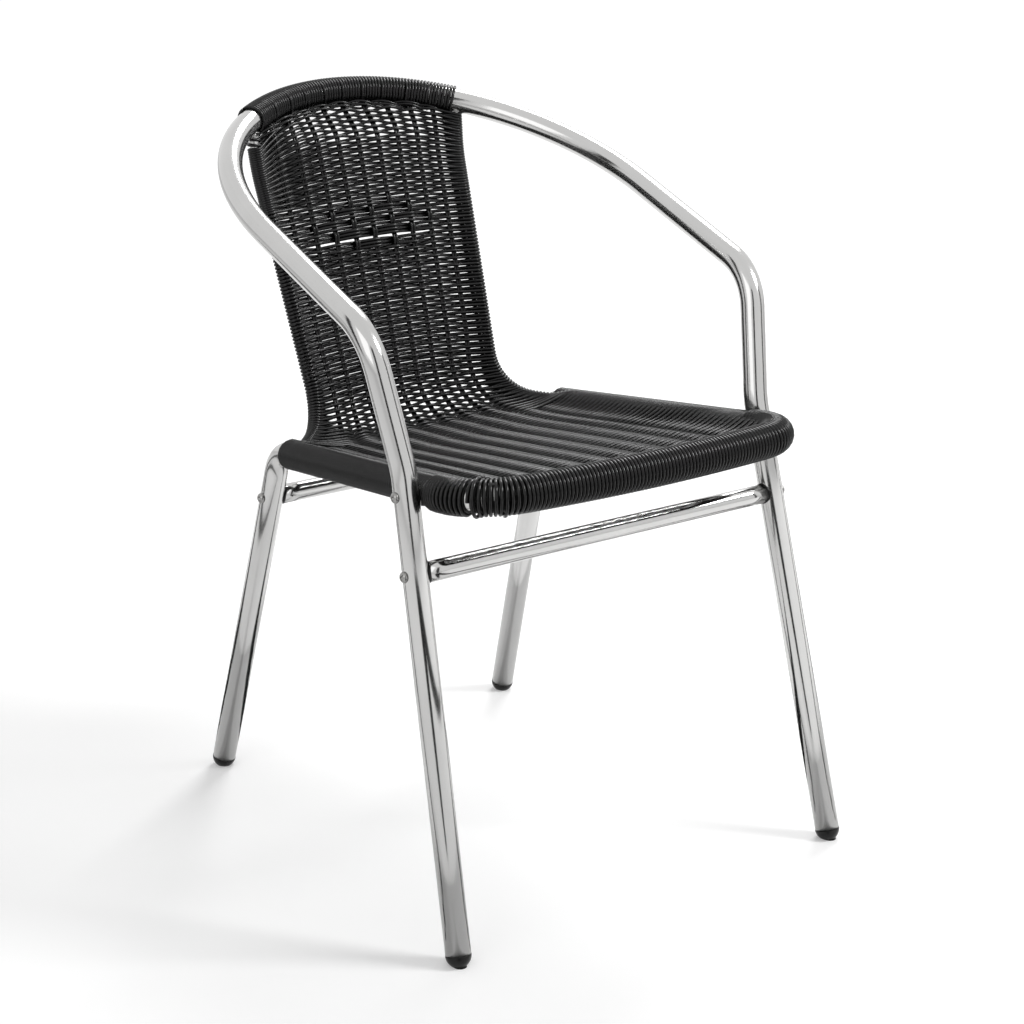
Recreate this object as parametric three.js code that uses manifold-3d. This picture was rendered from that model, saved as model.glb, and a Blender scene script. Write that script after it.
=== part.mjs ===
// Rattan bistro chair in millimetres. +Z is up, the front faces -Y,
// and the origin lies on the floor under the middle.
import * as THREE from "three";
import { mergeVertices } from "three/addons/utils/BufferGeometryUtils.js";
import Module from "manifold-3d";

const wasm = await Module();
wasm.setup();

// Tube and clearances
const tubeDiameter = 25;
const tubeWall = 1.5;
const fitGap = 0.3;
const cutOverrun = 6;

// Arm hoop: front feet, kink above the seat bolt, arm bend and the arc behind the back
const frontFootX = 234;
const frontFootY = -290;
const kinkX = 214;
const kinkY = -173.5;
const kinkRise = 11;
const kinkRadius = 130;
const armFlare = 16;
const armBendSetback = 31.5;
const armBendRise = 125;
const armBendRadius = 65;
const armRiseAngle = 19.3;
const armStraight = 192;
const backArcDepth = 262;

// Seat frame: rear feet, side rails and the bowed front rail
const rearFootX = 191;
const rearFootY = 242;
const railRearInset = 17.7;
const railFrontFlare = 4.6;
const railRearY = 127;
const railRearHeight = 390;
const railRearRadius = 38;
const railFrontY = -257;
const railRise = 51;
const railFrontRadius = 52;
const frontRailBow = 14;
const bowShares = [0.6, 0.2];

// Stretchers with their end inserts
const stretcherDiameter = 20;
const stretcherWall = 1.5;
const frontStretcherDrop = 71.6;
const rearStretcherDrop = 52.5;
const insertLength = 22;
const insertFlange = 1.8;

// Screws and nuts
const screwDiameter = 6;
const screwClearance = 0.6;
const screwHeadDiameter = 11;
const screwHeadHeight = 4;
const screwSocket = 4;
const screwSocketDepth = 2;
const screwCrownShares = [0.93, 0.45, 0.55];
const screwEngagement = 16;
const nutDiameter = 10;
const nutHeight = 4.4;

// Foot plugs
const plugHeight = 11;
const plugRim = 0.5;
const plugLip = 3;
const plugSoleDiameter = 19;
const plugStem = 22;
const plugTaperShares = [0.93, 0.6];

// Back side rods, from the hoop down to the side rails
const rodDiameter = 10;
const rodTopX = 128;
const rodUpperInset = 3;
const rodUpperLean = 8.7;
const rodUpperDrop = 52.4;
const rodUpperRadius = 150;
const rodLowerInset = 16.5;
const rodLowerSetback = 16;
const rodLowerRise = 15;
const rodLowerRadius = 60;
const rodLandingAdvance = 45;

// Woven sheet: middle line of the back and the seat
const sheetHalfThickness = 4.5;
const edgeHalfThickness = 8;
const edgeRoundShares = [0.8, 1, 0.6, 0.25];
const backMiddleLean = 41;
const backMiddleDrop = 39;
const rowLead = 31;
const rowLeadShare = 0.1;
const heelSetback = 20;
const heelDrop = 5;
const heelRadius = 60;
const seatDish = 3;
const seatRib = 1;
const seatValley = 1.5;
const sheetFrontMargin = 8;
const backRowShares = [0, 0.1, 0.43, 0.76, 0.82, 0.88, 0.94, 1];
const seatRowShares = [0.06, 0.35, 0.64, 0.93, 1];
const nearShare = 0.01;

// Openings through the weave, rows of them between neighbouring stakes
const backOpenings = 4;
const backOpeningSpanShares = [0.1, 0.76];
const backOpeningStakes = 4;
const seatOpenings = 3;
const seatOpeningSpanShares = [0.06, 0.93];
const seatOpeningStakes = 5;
const openingLengthShare = 0.76;
const openingSideShares = [0.25, 0.75];

// Stakes that the strands are woven over
const stakeCount = 11;
const stakeWidth = 6;
const stakeThickness = 3;
const backStakeShares = [0, 0.2, 0.4, 0.6, 0.8, 0.9];
const seatStakeShares = [0, 0.165, 0.33, 0.5, 0.645, 0.77];
const stakeSpreadShares = [0.6, 1.1];

// Strands wound on the tubes, drawn as wide loops
const hoopWrapHalfLength = 137;
const hoopWrapThickness = 3.3;
const railWrapThickness = 5.3;
const loopGap = 1.2;
const loopInnerGap = 1.1;
const straightInnerGap = 0.8;
const hoopLoops = 20;
const sideLoops = 10;
const frontLoops = 19;
const rodPassage = 9;
const legPassage = 4;

// Facets
const tubeSides = 10;
const rodSides = 8;
const wrapSides = 12;
const loopSteps = 10;
const arcSteps = 16;
const bendSteps = 6;
const gentleSteps = 3;
const plugSides = 12;
const socketSides = 6;
const weldDistance = 1e-4;
const surfaceTolerance = 0.05;

const tubeRadius = tubeDiameter / 2;
const railFrontHeight = railRearHeight + railRise;
const kinkHeight = railFrontHeight + kinkRise;
const armX = kinkX + armFlare;
const armBendY = kinkY + armBendSetback;
const armBendHeight = kinkHeight + armBendRise;
const degree = Math.PI / 180;

const aluminium = new THREE.MeshStandardMaterial({ color: 0xdcdedf, roughness: 0.22, metalness: 1 });
const steel = new THREE.MeshStandardMaterial({ color: 0xa9adb0, roughness: 0.32, metalness: 1 });
const blackStrand = new THREE.MeshStandardMaterial({ color: 0x1b1c1e, roughness: 0.45, metalness: 0 });
const blackStake = new THREE.MeshStandardMaterial({ color: 0x232426, roughness: 0.5, metalness: 0 });
const blackPlastic = new THREE.MeshStandardMaterial({ color: 0x121213, roughness: 0.5, metalness: 0 });

const chair = new THREE.Group();

function point(x, y, z) {
  return new THREE.Vector3(x, y, z);
}

function mirrored(vector) {
  return point(-vector.x, vector.y, vector.z);
}

function between(from, to, share) {
  return from.clone().lerp(to, share);
}

// A curve whose rings sit on its vertices, so straight runs take no rings.
class VertexPath extends THREE.Curve {
  constructor(vertices) {
    super();
    this.vertices = vertices;
  }

  getPointAt(share, target = new THREE.Vector3()) {
    const place = share * (this.vertices.length - 1);
    const index = Math.min(Math.floor(place), this.vertices.length - 2);
    return target.lerpVectors(this.vertices[index], this.vertices[index + 1], place - index);
  }

  getTangentAt(share, target = new THREE.Vector3()) {
    const last = this.vertices.length - 1;
    const index = Math.round(share * last);
    const here = this.vertices[index];
    target.set(0, 0, 0);
    if (index > 0) target.add(here.clone().sub(this.vertices[index - 1]).normalize());
    if (index < last) target.add(this.vertices[index + 1].clone().sub(here).normalize());
    return target.normalize();
  }
}

// Replaces a corner by an arc that is tangent to both of its sides.
function roundedCorner(before, corner, after, radius, steps) {
  const back = before.clone().sub(corner).normalize();
  const ahead = after.clone().sub(corner).normalize();
  const halfAngle = back.angleTo(ahead) / 2;
  const bisector = back.clone().add(ahead).normalize();
  const centre = corner.clone().addScaledVector(bisector, radius / Math.sin(halfAngle));
  const start = corner.clone().addScaledVector(back, radius / Math.tan(halfAngle));
  const spoke = start.clone().sub(centre);
  const axis = new THREE.Vector3().crossVectors(ahead, back).normalize();
  const turn = Math.PI - 2 * halfAngle;
  return Array.from({ length: steps + 1 }, (_, step) =>
    spoke.clone().applyAxisAngle(axis, turn * (step / steps)).add(centre),
  );
}

// Arc-length positions along a run of vertices.
class Track {
  constructor(vertices) {
    this.vertices = vertices;
    this.lengths = [0];
    for (let i = 1; i < vertices.length; i += 1) {
      this.lengths.push(this.lengths[i - 1] + vertices[i].distanceTo(vertices[i - 1]));
    }
    this.total = this.lengths[this.lengths.length - 1];
    this.makeFrames();
  }

  makeFrames() {
    const curve = new VertexPath(this.vertices);
    const frames = curve.computeFrenetFrames(this.vertices.length - 1, false);
    this.normals = frames.normals;
    this.binormals = frames.binormals;
  }

  find(length) {
    const wanted = THREE.MathUtils.clamp(length, 0, this.total);
    let index = 0;
    while (index < this.lengths.length - 2 && this.lengths[index + 1] < wanted) index += 1;
    const span = this.lengths[index + 1] - this.lengths[index];
    return { index, share: (wanted - this.lengths[index]) / span };
  }

  at(length) {
    const { index, share } = this.find(length);
    return between(this.vertices[index], this.vertices[index + 1], share);
  }

  around(length, angle, radius) {
    const { index, share } = this.find(length);
    const normal = between(this.normals[index], this.normals[index + 1], share).normalize();
    const binormal = between(this.binormals[index], this.binormals[index + 1], share).normalize();
    return this.at(length)
      .addScaledVector(normal, radius * Math.cos(angle))
      .addScaledVector(binormal, radius * Math.sin(angle));
  }

  // Length along the track of the place nearest to a point.
  nearest(target) {
    let best = { distance: Infinity, length: 0 };
    for (let i = 1; i < this.vertices.length; i += 1) {
      const line = new THREE.Line3(this.vertices[i - 1], this.vertices[i]);
      const share = line.closestPointToPointParameter(target, true);
      const distance = line.at(share, new THREE.Vector3()).distanceTo(target);
      const length = THREE.MathUtils.lerp(this.lengths[i - 1], this.lengths[i], share);
      if (distance < best.distance) best = { distance, length };
    }
    return best.length;
  }
}

// A tube along vertices; with no wall it is a solid bar.
function tubeGeometry(vertices, radius, sides, wall = 0) {
  const section = new THREE.Shape().absarc(0, 0, radius, 0, 2 * Math.PI, false);
  if (wall > 0) section.holes.push(new THREE.Path().absarc(0, 0, radius - wall, 0, 2 * Math.PI, true));
  return new THREE.ExtrudeGeometry(section, {
    steps: vertices.length - 1,
    curveSegments: sides / 2,
    extrudePath: new VertexPath(vertices),
  });
}

function solidOf(geometry) {
  const bare = geometry.clone();
  bare.deleteAttribute("normal");
  bare.deleteAttribute("uv");
  const merged = mergeVertices(bare, weldDistance);
  return new wasm.Manifold(
    new wasm.Mesh({
      numProp: 3,
      vertProperties: new Float32Array(merged.attributes.position.array),
      triVerts: new Uint32Array(merged.index.array),
    }),
  );
}

function bar(vertices, radius, sides = tubeSides) {
  return solidOf(tubeGeometry(vertices, radius, sides));
}

// A bar whose flat sides, not its corners, lie on the given radius, for cutting clear of a round piece.
function clearanceBar(vertices, radius, sides) {
  return bar(vertices, radius / Math.cos(Math.PI / sides), sides);
}

// Radius that fits with a gap in a bore drawn with flat sides.
function boreFit(radius, sides) {
  return radius * Math.cos(Math.PI / sides) - fitGap;
}

// The largest body that is left after the cutters are taken away.
function cut(body, ...cutters) {
  const left = cutters.reduce((rest, cutter) => rest.subtract(cutter), body);
  return left.decompose().sort((a, b) => b.volume() - a.volume())[0];
}

function geometryOf(solid) {
  const mesh = solid.simplify(surfaceTolerance).getMesh();
  const geometry = new THREE.BufferGeometry();
  geometry.setAttribute("position", new THREE.BufferAttribute(Float32Array.from(mesh.vertProperties), 3));
  geometry.setIndex(new THREE.BufferAttribute(Uint32Array.from(mesh.triVerts), 1));
  geometry.computeVertexNormals();
  return geometry;
}

function add(name, geometry, material) {
  const mesh = new THREE.Mesh(geometry, material);
  mesh.name = name;
  chair.add(mesh);
}

function addBoth(name, solid, material) {
  add(`${name}_right`, geometryOf(solid), material);
  add(`${name}_left`, geometryOf(solid.mirror([1, 0, 0])), material);
}

// Frame lines, right side
const frontFoot = point(frontFootX, frontFootY, 0);
const kink = point(kinkX, kinkY, kinkHeight);
const armBend = point(armX, armBendY, armBendHeight);
const rearFoot = point(rearFootX, rearFootY, 0);

// Where the front leg crosses the side rail in side view, as a share of each line.
function legRailCrossing() {
  const legRun = kinkY - frontFootY;
  const railRun = railFrontY - railRearY;
  const rearRun = railRearY - frontFootY;
  const spread = legRun * railRise - kinkHeight * railRun;
  const legShare = (rearRun * railRise - railRearHeight * railRun) / spread;
  const leg = between(frontFoot, kink, legShare);
  return { leg, railShare: (leg.y - railRearY) / railRun };
}

const crossing = legRailCrossing();
const railCrossingX = crossing.leg.x - tubeDiameter - fitGap;
const railRear = point(railCrossingX - railRearInset, railRearY, railRearHeight);
const railFront = point(railCrossingX + railFrontFlare, railFrontY, railFrontHeight);

// Places in the sloping plane that holds both arms and the arc behind the back.
function armPlane(x, along) {
  const rise = armRiseAngle * degree;
  return point(x, armBendY + along * Math.cos(rise), armBendHeight + along * Math.sin(rise));
}

function hoopArc(turn) {
  return armPlane(armX * Math.cos(turn), armStraight + backArcDepth * Math.sin(turn));
}

function legEnd(foot, top) {
  const share = plugHeight / foot.distanceTo(top);
  return between(foot, top, share);
}

function hoopVertices() {
  const side = [
    legEnd(frontFoot, kink),
    ...roundedCorner(frontFoot, kink, armBend, kinkRadius, gentleSteps),
    ...roundedCorner(kink, armBend, armPlane(armX, armStraight), armBendRadius, bendSteps),
  ];
  const arc = Array.from({ length: arcSteps + 1 }, (_, step) => hoopArc(Math.PI * (step / arcSteps)));
  return [...side, ...arc, ...side.map(mirrored).reverse()];
}

function seatFrameVertices() {
  const bowed = (x) => point(x, railFrontY - frontRailBow * (1 - (x / railFront.x) ** 2), railFrontHeight);
  const bowEnd = railFront.x - railFrontRadius;
  const side = [
    legEnd(rearFoot, railRear),
    ...roundedCorner(rearFoot, railRear, railFront, railRearRadius, bendSteps),
    ...roundedCorner(railRear, railFront, bowed(bowEnd), railFrontRadius, bendSteps),
  ];
  const bow = bowShares.map((share) => bowed(share * bowEnd));
  return [...side, ...bow, ...bow.map(mirrored).reverse(), ...side.map(mirrored).reverse()];
}

const hoopLine = hoopVertices();
const seatLine = seatFrameVertices();
const hoopTrack = new Track(hoopLine);
const seatTrack = new Track(seatLine);

function onLeg(foot, top, height) {
  return between(foot, top, height / top.z);
}

const frontStretcherEnd = onLeg(frontFoot, kink, crossing.leg.z - frontStretcherDrop);
const rearStretcherEnd = onLeg(rearFoot, railRear, railRearHeight - rearStretcherDrop);

function crosswiseBar(centre, fromX, toX, diameter, sides = rodSides) {
  return bar([point(fromX, centre.y, centre.z), point(toX, centre.y, centre.z)], diameter / 2, sides);
}

function screwHole(centre) {
  const reach = tubeDiameter + cutOverrun;
  return crosswiseBar(centre, centre.x - reach, centre.x + reach, screwDiameter + screwClearance);
}

function buildFrames() {
  const onRail = crossing.leg.clone().setX(railCrossingX);
  const seatHole = screwHole(between(crossing.leg, onRail, 0.5));
  const frontHole = screwHole(frontStretcherEnd);
  const rearHole = screwHole(rearStretcherEnd);
  const both = (solid) => solid.add(solid.mirror([1, 0, 0]));
  const hoop = solidOf(tubeGeometry(hoopLine, tubeRadius, tubeSides, tubeWall));
  const seat = solidOf(tubeGeometry(seatLine, tubeRadius, tubeSides, tubeWall));
  add("arm_hoop", geometryOf(cut(hoop, both(seatHole), both(frontHole))), aluminium);
  add("seat_frame", geometryOf(cut(seat, both(seatHole), both(rearHole))), aluminium);
}

function buildStretcher(name, end, foot, top) {
  const leg = (extra) => {
    const solid = bar([foot, top], tubeRadius + extra, 2 * tubeSides);
    return solid.add(solid.mirror([1, 0, 0]));
  };
  const line = [point(-end.x, end.y, end.z), end];
  const tube = solidOf(tubeGeometry(line, stretcherDiameter / 2, 2 * rodSides, stretcherWall));
  add(`${name}_stretcher`, geometryOf(cut(tube, leg(insertFlange + 2 * fitGap))), aluminium);
  const innerX = end.x - tubeRadius - insertLength;
  const bore = crosswiseBar(end, innerX - cutOverrun, end.x, screwDiameter + screwClearance);
  const stemRadius = boreFit(stretcherDiameter / 2 - stretcherWall, 2 * rodSides);
  const stem = crosswiseBar(end, innerX, end.x, 2 * stemRadius);
  const flange = crosswiseBar(end, innerX + cutOverrun, end.x, stretcherDiameter, 2 * rodSides);
  const band = flange.intersect(leg(insertFlange + fitGap));
  addBoth(`${name}_insert`, cut(stem.add(band), leg(fitGap), bore), blackPlastic);
}

// A button head screw that lies along X, with its head on the outer side.
function screwSolid(headX, centre, length) {
  const radius = screwDiameter / 2;
  const headRadius = screwHeadDiameter / 2;
  const profile = [
    new THREE.Vector2(0, -length),
    new THREE.Vector2(radius, -length),
    new THREE.Vector2(radius, 0),
    new THREE.Vector2(headRadius, 0),
    new THREE.Vector2(headRadius * screwCrownShares[0], screwHeadHeight * screwCrownShares[1]),
    new THREE.Vector2(headRadius * screwCrownShares[2], screwHeadHeight),
    new THREE.Vector2(0, screwHeadHeight),
  ];
  const geometry = new THREE.LatheGeometry(profile, rodSides);
  geometry.rotateZ(-Math.PI / 2);
  geometry.translate(headX, centre.y, centre.z);
  const top = headX + screwHeadHeight;
  const socket = crosswiseBar(centre, top - screwSocketDepth, top + cutOverrun, screwSocket, socketSides);
  return cut(solidOf(geometry), socket);
}

function nutSolid(outerX, centre) {
  const body = crosswiseBar(centre, outerX - nutHeight, outerX, nutDiameter, socketSides);
  const bore = crosswiseBar(
    centre,
    outerX - nutHeight - cutOverrun,
    outerX + cutOverrun,
    screwDiameter + 2 * fitGap,
  );
  return cut(body, bore);
}

function buildFasteners() {
  const reach = tubeRadius + fitGap;
  const seatHead = crossing.leg.x + reach;
  const nutFace = railCrossingX - reach;
  addBoth("seat_screw", screwSolid(seatHead, crossing.leg, seatHead - nutFace + nutHeight), steel);
  addBoth("seat_nut", nutSolid(nutFace, crossing.leg), steel);
  const length = 2 * reach + screwEngagement;
  addBoth("front_screw", screwSolid(frontStretcherEnd.x + reach, frontStretcherEnd, length), steel);
  addBoth("rear_screw", screwSolid(rearStretcherEnd.x + reach, rearStretcherEnd, length), steel);
}

// A foot plug: a stem in the tube, a rim under its end and a tapering sole cut flat at the floor.
function plugSolid(foot, top) {
  const stemRadius = boreFit(tubeRadius - tubeWall, tubeSides);
  const rimRadius = tubeRadius + plugRim;
  const rimTop = plugHeight - fitGap;
  const soleRadius = plugSoleDiameter / 2;
  const profile = [
    new THREE.Vector2(0, -cutOverrun),
    new THREE.Vector2(soleRadius, -cutOverrun),
    new THREE.Vector2(soleRadius, 0),
    new THREE.Vector2(rimRadius * plugTaperShares[0], (rimTop - plugLip) * plugTaperShares[1]),
    new THREE.Vector2(rimRadius, rimTop - plugLip),
    new THREE.Vector2(rimRadius, rimTop),
    new THREE.Vector2(stemRadius, rimTop),
    new THREE.Vector2(stemRadius, rimTop + plugStem),
    new THREE.Vector2(0, rimTop + plugStem),
  ];
  const geometry = new THREE.LatheGeometry(profile, plugSides);
  const axis = top.clone().sub(foot).normalize();
  geometry.applyQuaternion(new THREE.Quaternion().setFromUnitVectors(point(0, 1, 0), axis));
  geometry.translate(foot.x, foot.y, foot.z);
  return solidOf(geometry).trimByPlane([0, 0, 1], 0);
}

// Back side rod, from the hoop's underside down and outwards to the side rail
function rodVertices() {
  const hoopTurn = Math.acos(rodTopX / armX);
  const top = hoopArc(hoopTurn);
  const upper = point(rodTopX - rodUpperInset, top.y - rodUpperLean, top.z - rodUpperDrop);
  const lower = point(rodTopX - rodLowerInset, railRearY + rodLowerSetback, railRearHeight + rodLowerRise);
  const landing = between(railRear, railFront, rodLandingAdvance / (railRearY - railFrontY));
  return [
    top,
    ...roundedCorner(top, upper, lower, rodUpperRadius, gentleSteps),
    ...roundedCorner(upper, lower, landing, rodLowerRadius, bendSteps),
    landing,
  ];
}

const rodLine = rodVertices();
const rodTrack = new Track(rodLine);
const tubeCutters = [hoopLine, seatLine].map((line) => clearanceBar(line, tubeRadius + fitGap, tubeSides));

function buildRods() {
  addBoth("back_rod", cut(bar(rodLine, rodDiameter / 2, rodSides), ...tubeCutters), aluminium);
}

// Woven sheet: every row runs from the left edge line over the middle line to the right edge line
function middleTracks(landing) {
  const top = armPlane(0, armStraight + backArcDepth);
  const upper = point(0, top.y - backMiddleLean, top.z - backMiddleDrop);
  const heel = point(0, railRearY + heelSetback, railRearHeight - heelDrop);
  const slope = railRise / (railFrontY - railRearY);
  const front = point(0, railFrontY, heel.z + slope * (railFrontY - heel.y));
  const level = between(heel, front, (landing.y - heel.y) / (front.y - heel.y));
  const bend = roundedCorner(upper, heel, front, heelRadius, bendSteps);
  return { back: new Track([top, upper, ...bend, level]), front };
}

const rodLanding = rodLine[rodLine.length - 1];
const middleLine = middleTracks(rodLanding);

// A row runs level across the back, so its middle lies further along than its edge, which starts higher up.
function backRow(share) {
  const lead = rowLead * Math.min(share / rowLeadShare, 1);
  return {
    edge: rodTrack.at(rodTrack.total * share),
    middle: middleLine.back.at(lead + (middleLine.back.total - rowLead) * share),
    stakeSpread: THREE.MathUtils.smoothstep(share, stakeSpreadShares[0], stakeSpreadShares[1]),
    dish: 0,
  };
}

function seatRow(share) {
  const frontEdge = railFront.clone().setY(railFrontY + sheetFrontMargin);
  return {
    edge: between(rodLanding, frontEdge, share),
    middle: between(middleLine.back.at(middleLine.back.total), middleLine.front, share),
    stakeSpread: 1,
    dish: seatDish,
  };
}

const rows = [...backRowShares.map(backRow), ...seatRowShares.map(seatRow)];
const seamRow = backRowShares.length - 1;

function sheetPoint(row, share) {
  const bow = 1 - share * share;
  return point(
    share * row.edge.x,
    THREE.MathUtils.lerp(row.edge.y, row.middle.y, bow),
    THREE.MathUtils.lerp(row.edge.z, row.middle.z, bow) - row.dish * bow,
  );
}

// Place on one row of a run of rows, pushed across the sheet and off it towards the sitter.
function sheetPlace(run, rowIndex, share, across, lift) {
  const row = run[rowIndex];
  const side = sheetPoint(row, share + nearShare).sub(sheetPoint(row, share - nearShare)).normalize();
  const before = sheetPoint(run[Math.max(rowIndex - 1, 0)], share);
  const after = sheetPoint(run[Math.min(rowIndex + 1, run.length - 1)], share);
  const normal = after.sub(before).cross(side).normalize();
  return sheetPoint(row, share).addScaledVector(side, across).addScaledVector(normal, lift);
}

function stakeShare(row, stake) {
  const index = Math.abs(stake);
  const share = THREE.MathUtils.lerp(backStakeShares[index], seatStakeShares[index], row.stakeSpread);
  return Math.sign(stake) * share;
}

// Columns across the sheet: round edges, a crest at each stake and, where it is ribbed, a valley between two.
function sheetColumns(row, ribbed) {
  const half = (stakeCount - 1) / 2;
  const top = sheetHalfThickness + (ribbed ? seatRib : 0);
  const edge = [-edgeRoundShares[0], 0, edgeRoundShares[0], 1].map((across, index) => ({
    share: 1,
    across: across * edgeHalfThickness,
    up: edgeRoundShares[index] * edgeHalfThickness,
  }));
  const middle = [];
  for (let stake = -half; stake <= half; stake += 1) {
    middle.push({ share: stakeShare(row, stake), across: 0, up: top });
    if (!ribbed || stake === half) continue;
    const valley = (stakeShare(row, stake) + stakeShare(row, stake + 1)) / 2;
    middle.push({ share: valley, across: 0, up: sheetHalfThickness - seatValley });
  }
  const leftEdge = edge.map((column) => ({ ...column, share: -1, across: -column.across })).reverse();
  return [...leftEdge, ...middle, ...edge];
}

// A closed body between two grids of points with the same rows and columns.
function gridSolid(upper, lower) {
  const rowCount = upper.length;
  const columnCount = upper[0].length;
  const positions = [...upper.flat(), ...lower.flat()].flatMap((place) => place.toArray());
  const up = (row, column) => row * columnCount + column;
  const down = (row, column) => rowCount * columnCount + up(row, column);
  const index = [];
  const quad = (a, b, c, d) => index.push(a, b, c, a, c, d);
  for (let row = 0; row < rowCount - 1; row += 1) {
    for (let column = 0; column < columnCount - 1; column += 1) {
      quad(up(row, column), up(row + 1, column), up(row + 1, column + 1), up(row, column + 1));
      quad(down(row, column), down(row, column + 1), down(row + 1, column + 1), down(row + 1, column));
    }
    quad(up(row + 1, 0), up(row, 0), down(row, 0), down(row + 1, 0));
    const end = columnCount - 1;
    quad(up(row, end), up(row + 1, end), down(row + 1, end), down(row, end));
  }
  for (let column = 0; column < columnCount - 1; column += 1) {
    quad(up(0, column), up(0, column + 1), down(0, column + 1), down(0, column));
    const end = rowCount - 1;
    quad(up(end, column + 1), up(end, column), down(end, column), down(end, column + 1));
  }
  return new wasm.Manifold(
    new wasm.Mesh({
      numProp: 3,
      vertProperties: new Float32Array(positions),
      triVerts: new Uint32Array(index),
    }),
  );
}

function stakeSolid(stake, extra) {
  const outermost = Math.abs(stake) === (stakeCount - 1) / 2;
  const firstRow = outermost ? seamRow - 1 : 0;
  const halfWidth = stakeWidth / 2 + extra;
  const grid = (lift) =>
    rows.slice(firstRow).map((row, index) => {
      const share = stakeShare(row, stake);
      return [-halfWidth, halfWidth].map((across) => sheetPlace(rows, firstRow + index, share, across, lift));
    });
  const halfThickness = stakeThickness / 2 + extra;
  return gridSolid(grid(halfThickness), grid(-halfThickness));
}

function sheetSolid(firstRow, lastRow, ribbed) {
  const grid = (side) =>
    rows.slice(firstRow, lastRow + 1).map((row, index) =>
      sheetColumns(row, ribbed).map((column) =>
        sheetPlace(rows, firstRow + index, column.share, column.across, side * column.up),
      ),
    );
  return gridSolid(grid(1), grid(-1));
}

// What is cut away for one opening: straight through the sheet, between two rows and two neighbouring stakes
function openingSolid(run, stake) {
  const corners = run.map((row, rowIndex) =>
    openingSideShares.map((side) => {
      const share = THREE.MathUtils.lerp(stakeShare(row, stake), stakeShare(row, stake + 1), side);
      return sheetPoint(row, share);
    }),
  );
  const [[startLeft, startRight], [endLeft, endRight]] = corners;
  const normal = endLeft.clone().sub(startRight).cross(endRight.clone().sub(startLeft)).normalize();
  const depth = sheetHalfThickness + cutOverrun;
  const grid = (lift) => {
    const away = normal.clone().multiplyScalar(lift);
    return corners.map((pair) => pair.map((corner) => corner.clone().add(away)));
  };
  return gridSolid(grid(depth), grid(-depth));
}

// Even rows of openings, one between each pair of neighbouring stakes
function openingSolids(rowAt, count, spanShares, lastStake) {
  const pitch = (spanShares[1] - spanShares[0]) / count;
  const solids = [];
  for (let index = 0; index < count; index += 1) {
    const start = spanShares[0] + pitch * (index + (1 - openingLengthShare) / 2);
    const run = [rowAt(start), rowAt(start + pitch * openingLengthShare)];
    for (let stake = -lastStake; stake < lastStake; stake += 1) {
      solids.push(openingSolid(run, stake));
    }
  }
  return solids;
}

const hoopWrapRadius = tubeRadius + hoopWrapThickness;
const railWrapRadius = tubeRadius + railWrapThickness;
const wrapCutters = [
  clearanceBar(hoopLine, hoopWrapRadius + fitGap, wrapSides),
  clearanceBar(seatLine, railWrapRadius + 2 * fitGap, wrapSides),
];

function buildWeave() {
  const half = (stakeCount - 1) / 2;
  const stakes = Array.from({ length: stakeCount }, (_, index) => index - half);
  stakes.forEach((stake) =>
    add(`stake_${stake + half + 1}`, geometryOf(cut(stakeSolid(stake, 0), ...wrapCutters)), blackStake),
  );
  const rod = clearanceBar(rodLine, rodDiameter / 2 + fitGap, rodSides);
  const channels = stakes.map((stake) => stakeSolid(stake, fitGap));
  const cutters = [...wrapCutters, rod, rod.mirror([1, 0, 0]), ...channels];
  const back = sheetSolid(0, seamRow, false);
  const seat = sheetSolid(seamRow, rows.length - 1, true).translate([0, -fitGap, 0]);
  const backGaps = openingSolids(backRow, backOpenings, backOpeningSpanShares, backOpeningStakes);
  const seatGaps = openingSolids(seatRow, seatOpenings, seatOpeningSpanShares, seatOpeningStakes);
  add("woven_back", geometryOf(cut(back, ...cutters, ...backGaps)), blackStrand);
  add("woven_seat", geometryOf(cut(seat, ...cutters, ...seatGaps)), blackStrand);
}

// A strand wound round a tube as one unbroken band. Each ring is a section across the band, tube side first;
// a band that goes round a bend has corners in its middle too.
function windingRings(track, start, end, loops, { innerGap, outer, bends }) {
  const pitch = (end - start) / (loops + 1);
  const halfBand = (pitch - loopGap) / 2;
  const across = bends ? [-halfBand, 0, halfBand] : [-halfBand, halfBand];
  const inside = across.map((along) => ({ radius: tubeRadius + innerGap, along }));
  const outside = across.map((along) => ({ radius: outer, along: along * (1 - loopGap / pitch) })).reverse();
  return Array.from({ length: loops * loopSteps + 1 }, (_, step) => {
    const turn = step / loopSteps;
    const middle = start + pitch * (turn + 0.5);
    return [...inside, ...outside].map((corner) =>
      track.around(middle + corner.along, 2 * Math.PI * turn, corner.radius),
    );
  });
}

function windingGeometry(rings) {
  const sides = rings[0].length;
  const positions = rings.flat().flatMap((place) => place.toArray());
  const index = [];
  const quad = (a, b, c, d) => index.push(a, b, c, a, c, d);
  for (let ring = 0; ring < rings.length - 1; ring += 1) {
    for (let side = 0; side < sides; side += 1) {
      const next = (side + 1) % sides;
      quad(ring * sides + side, ring * sides + next, (ring + 1) * sides + next, (ring + 1) * sides + side);
    }
  }
  const last = (rings.length - 1) * sides;
  for (let side = 0; side < sides / 2 - 1; side += 1) {
    const opposite = sides - 1 - side;
    quad(opposite, opposite - 1, side + 1, side);
    quad(last + side, last + side + 1, last + opposite - 1, last + opposite);
  }
  const geometry = new THREE.BufferGeometry();
  geometry.setAttribute("position", new THREE.Float32BufferAttribute(positions, 3));
  geometry.setIndex(index);
  geometry.computeVertexNormals();
  return geometry;
}

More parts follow.
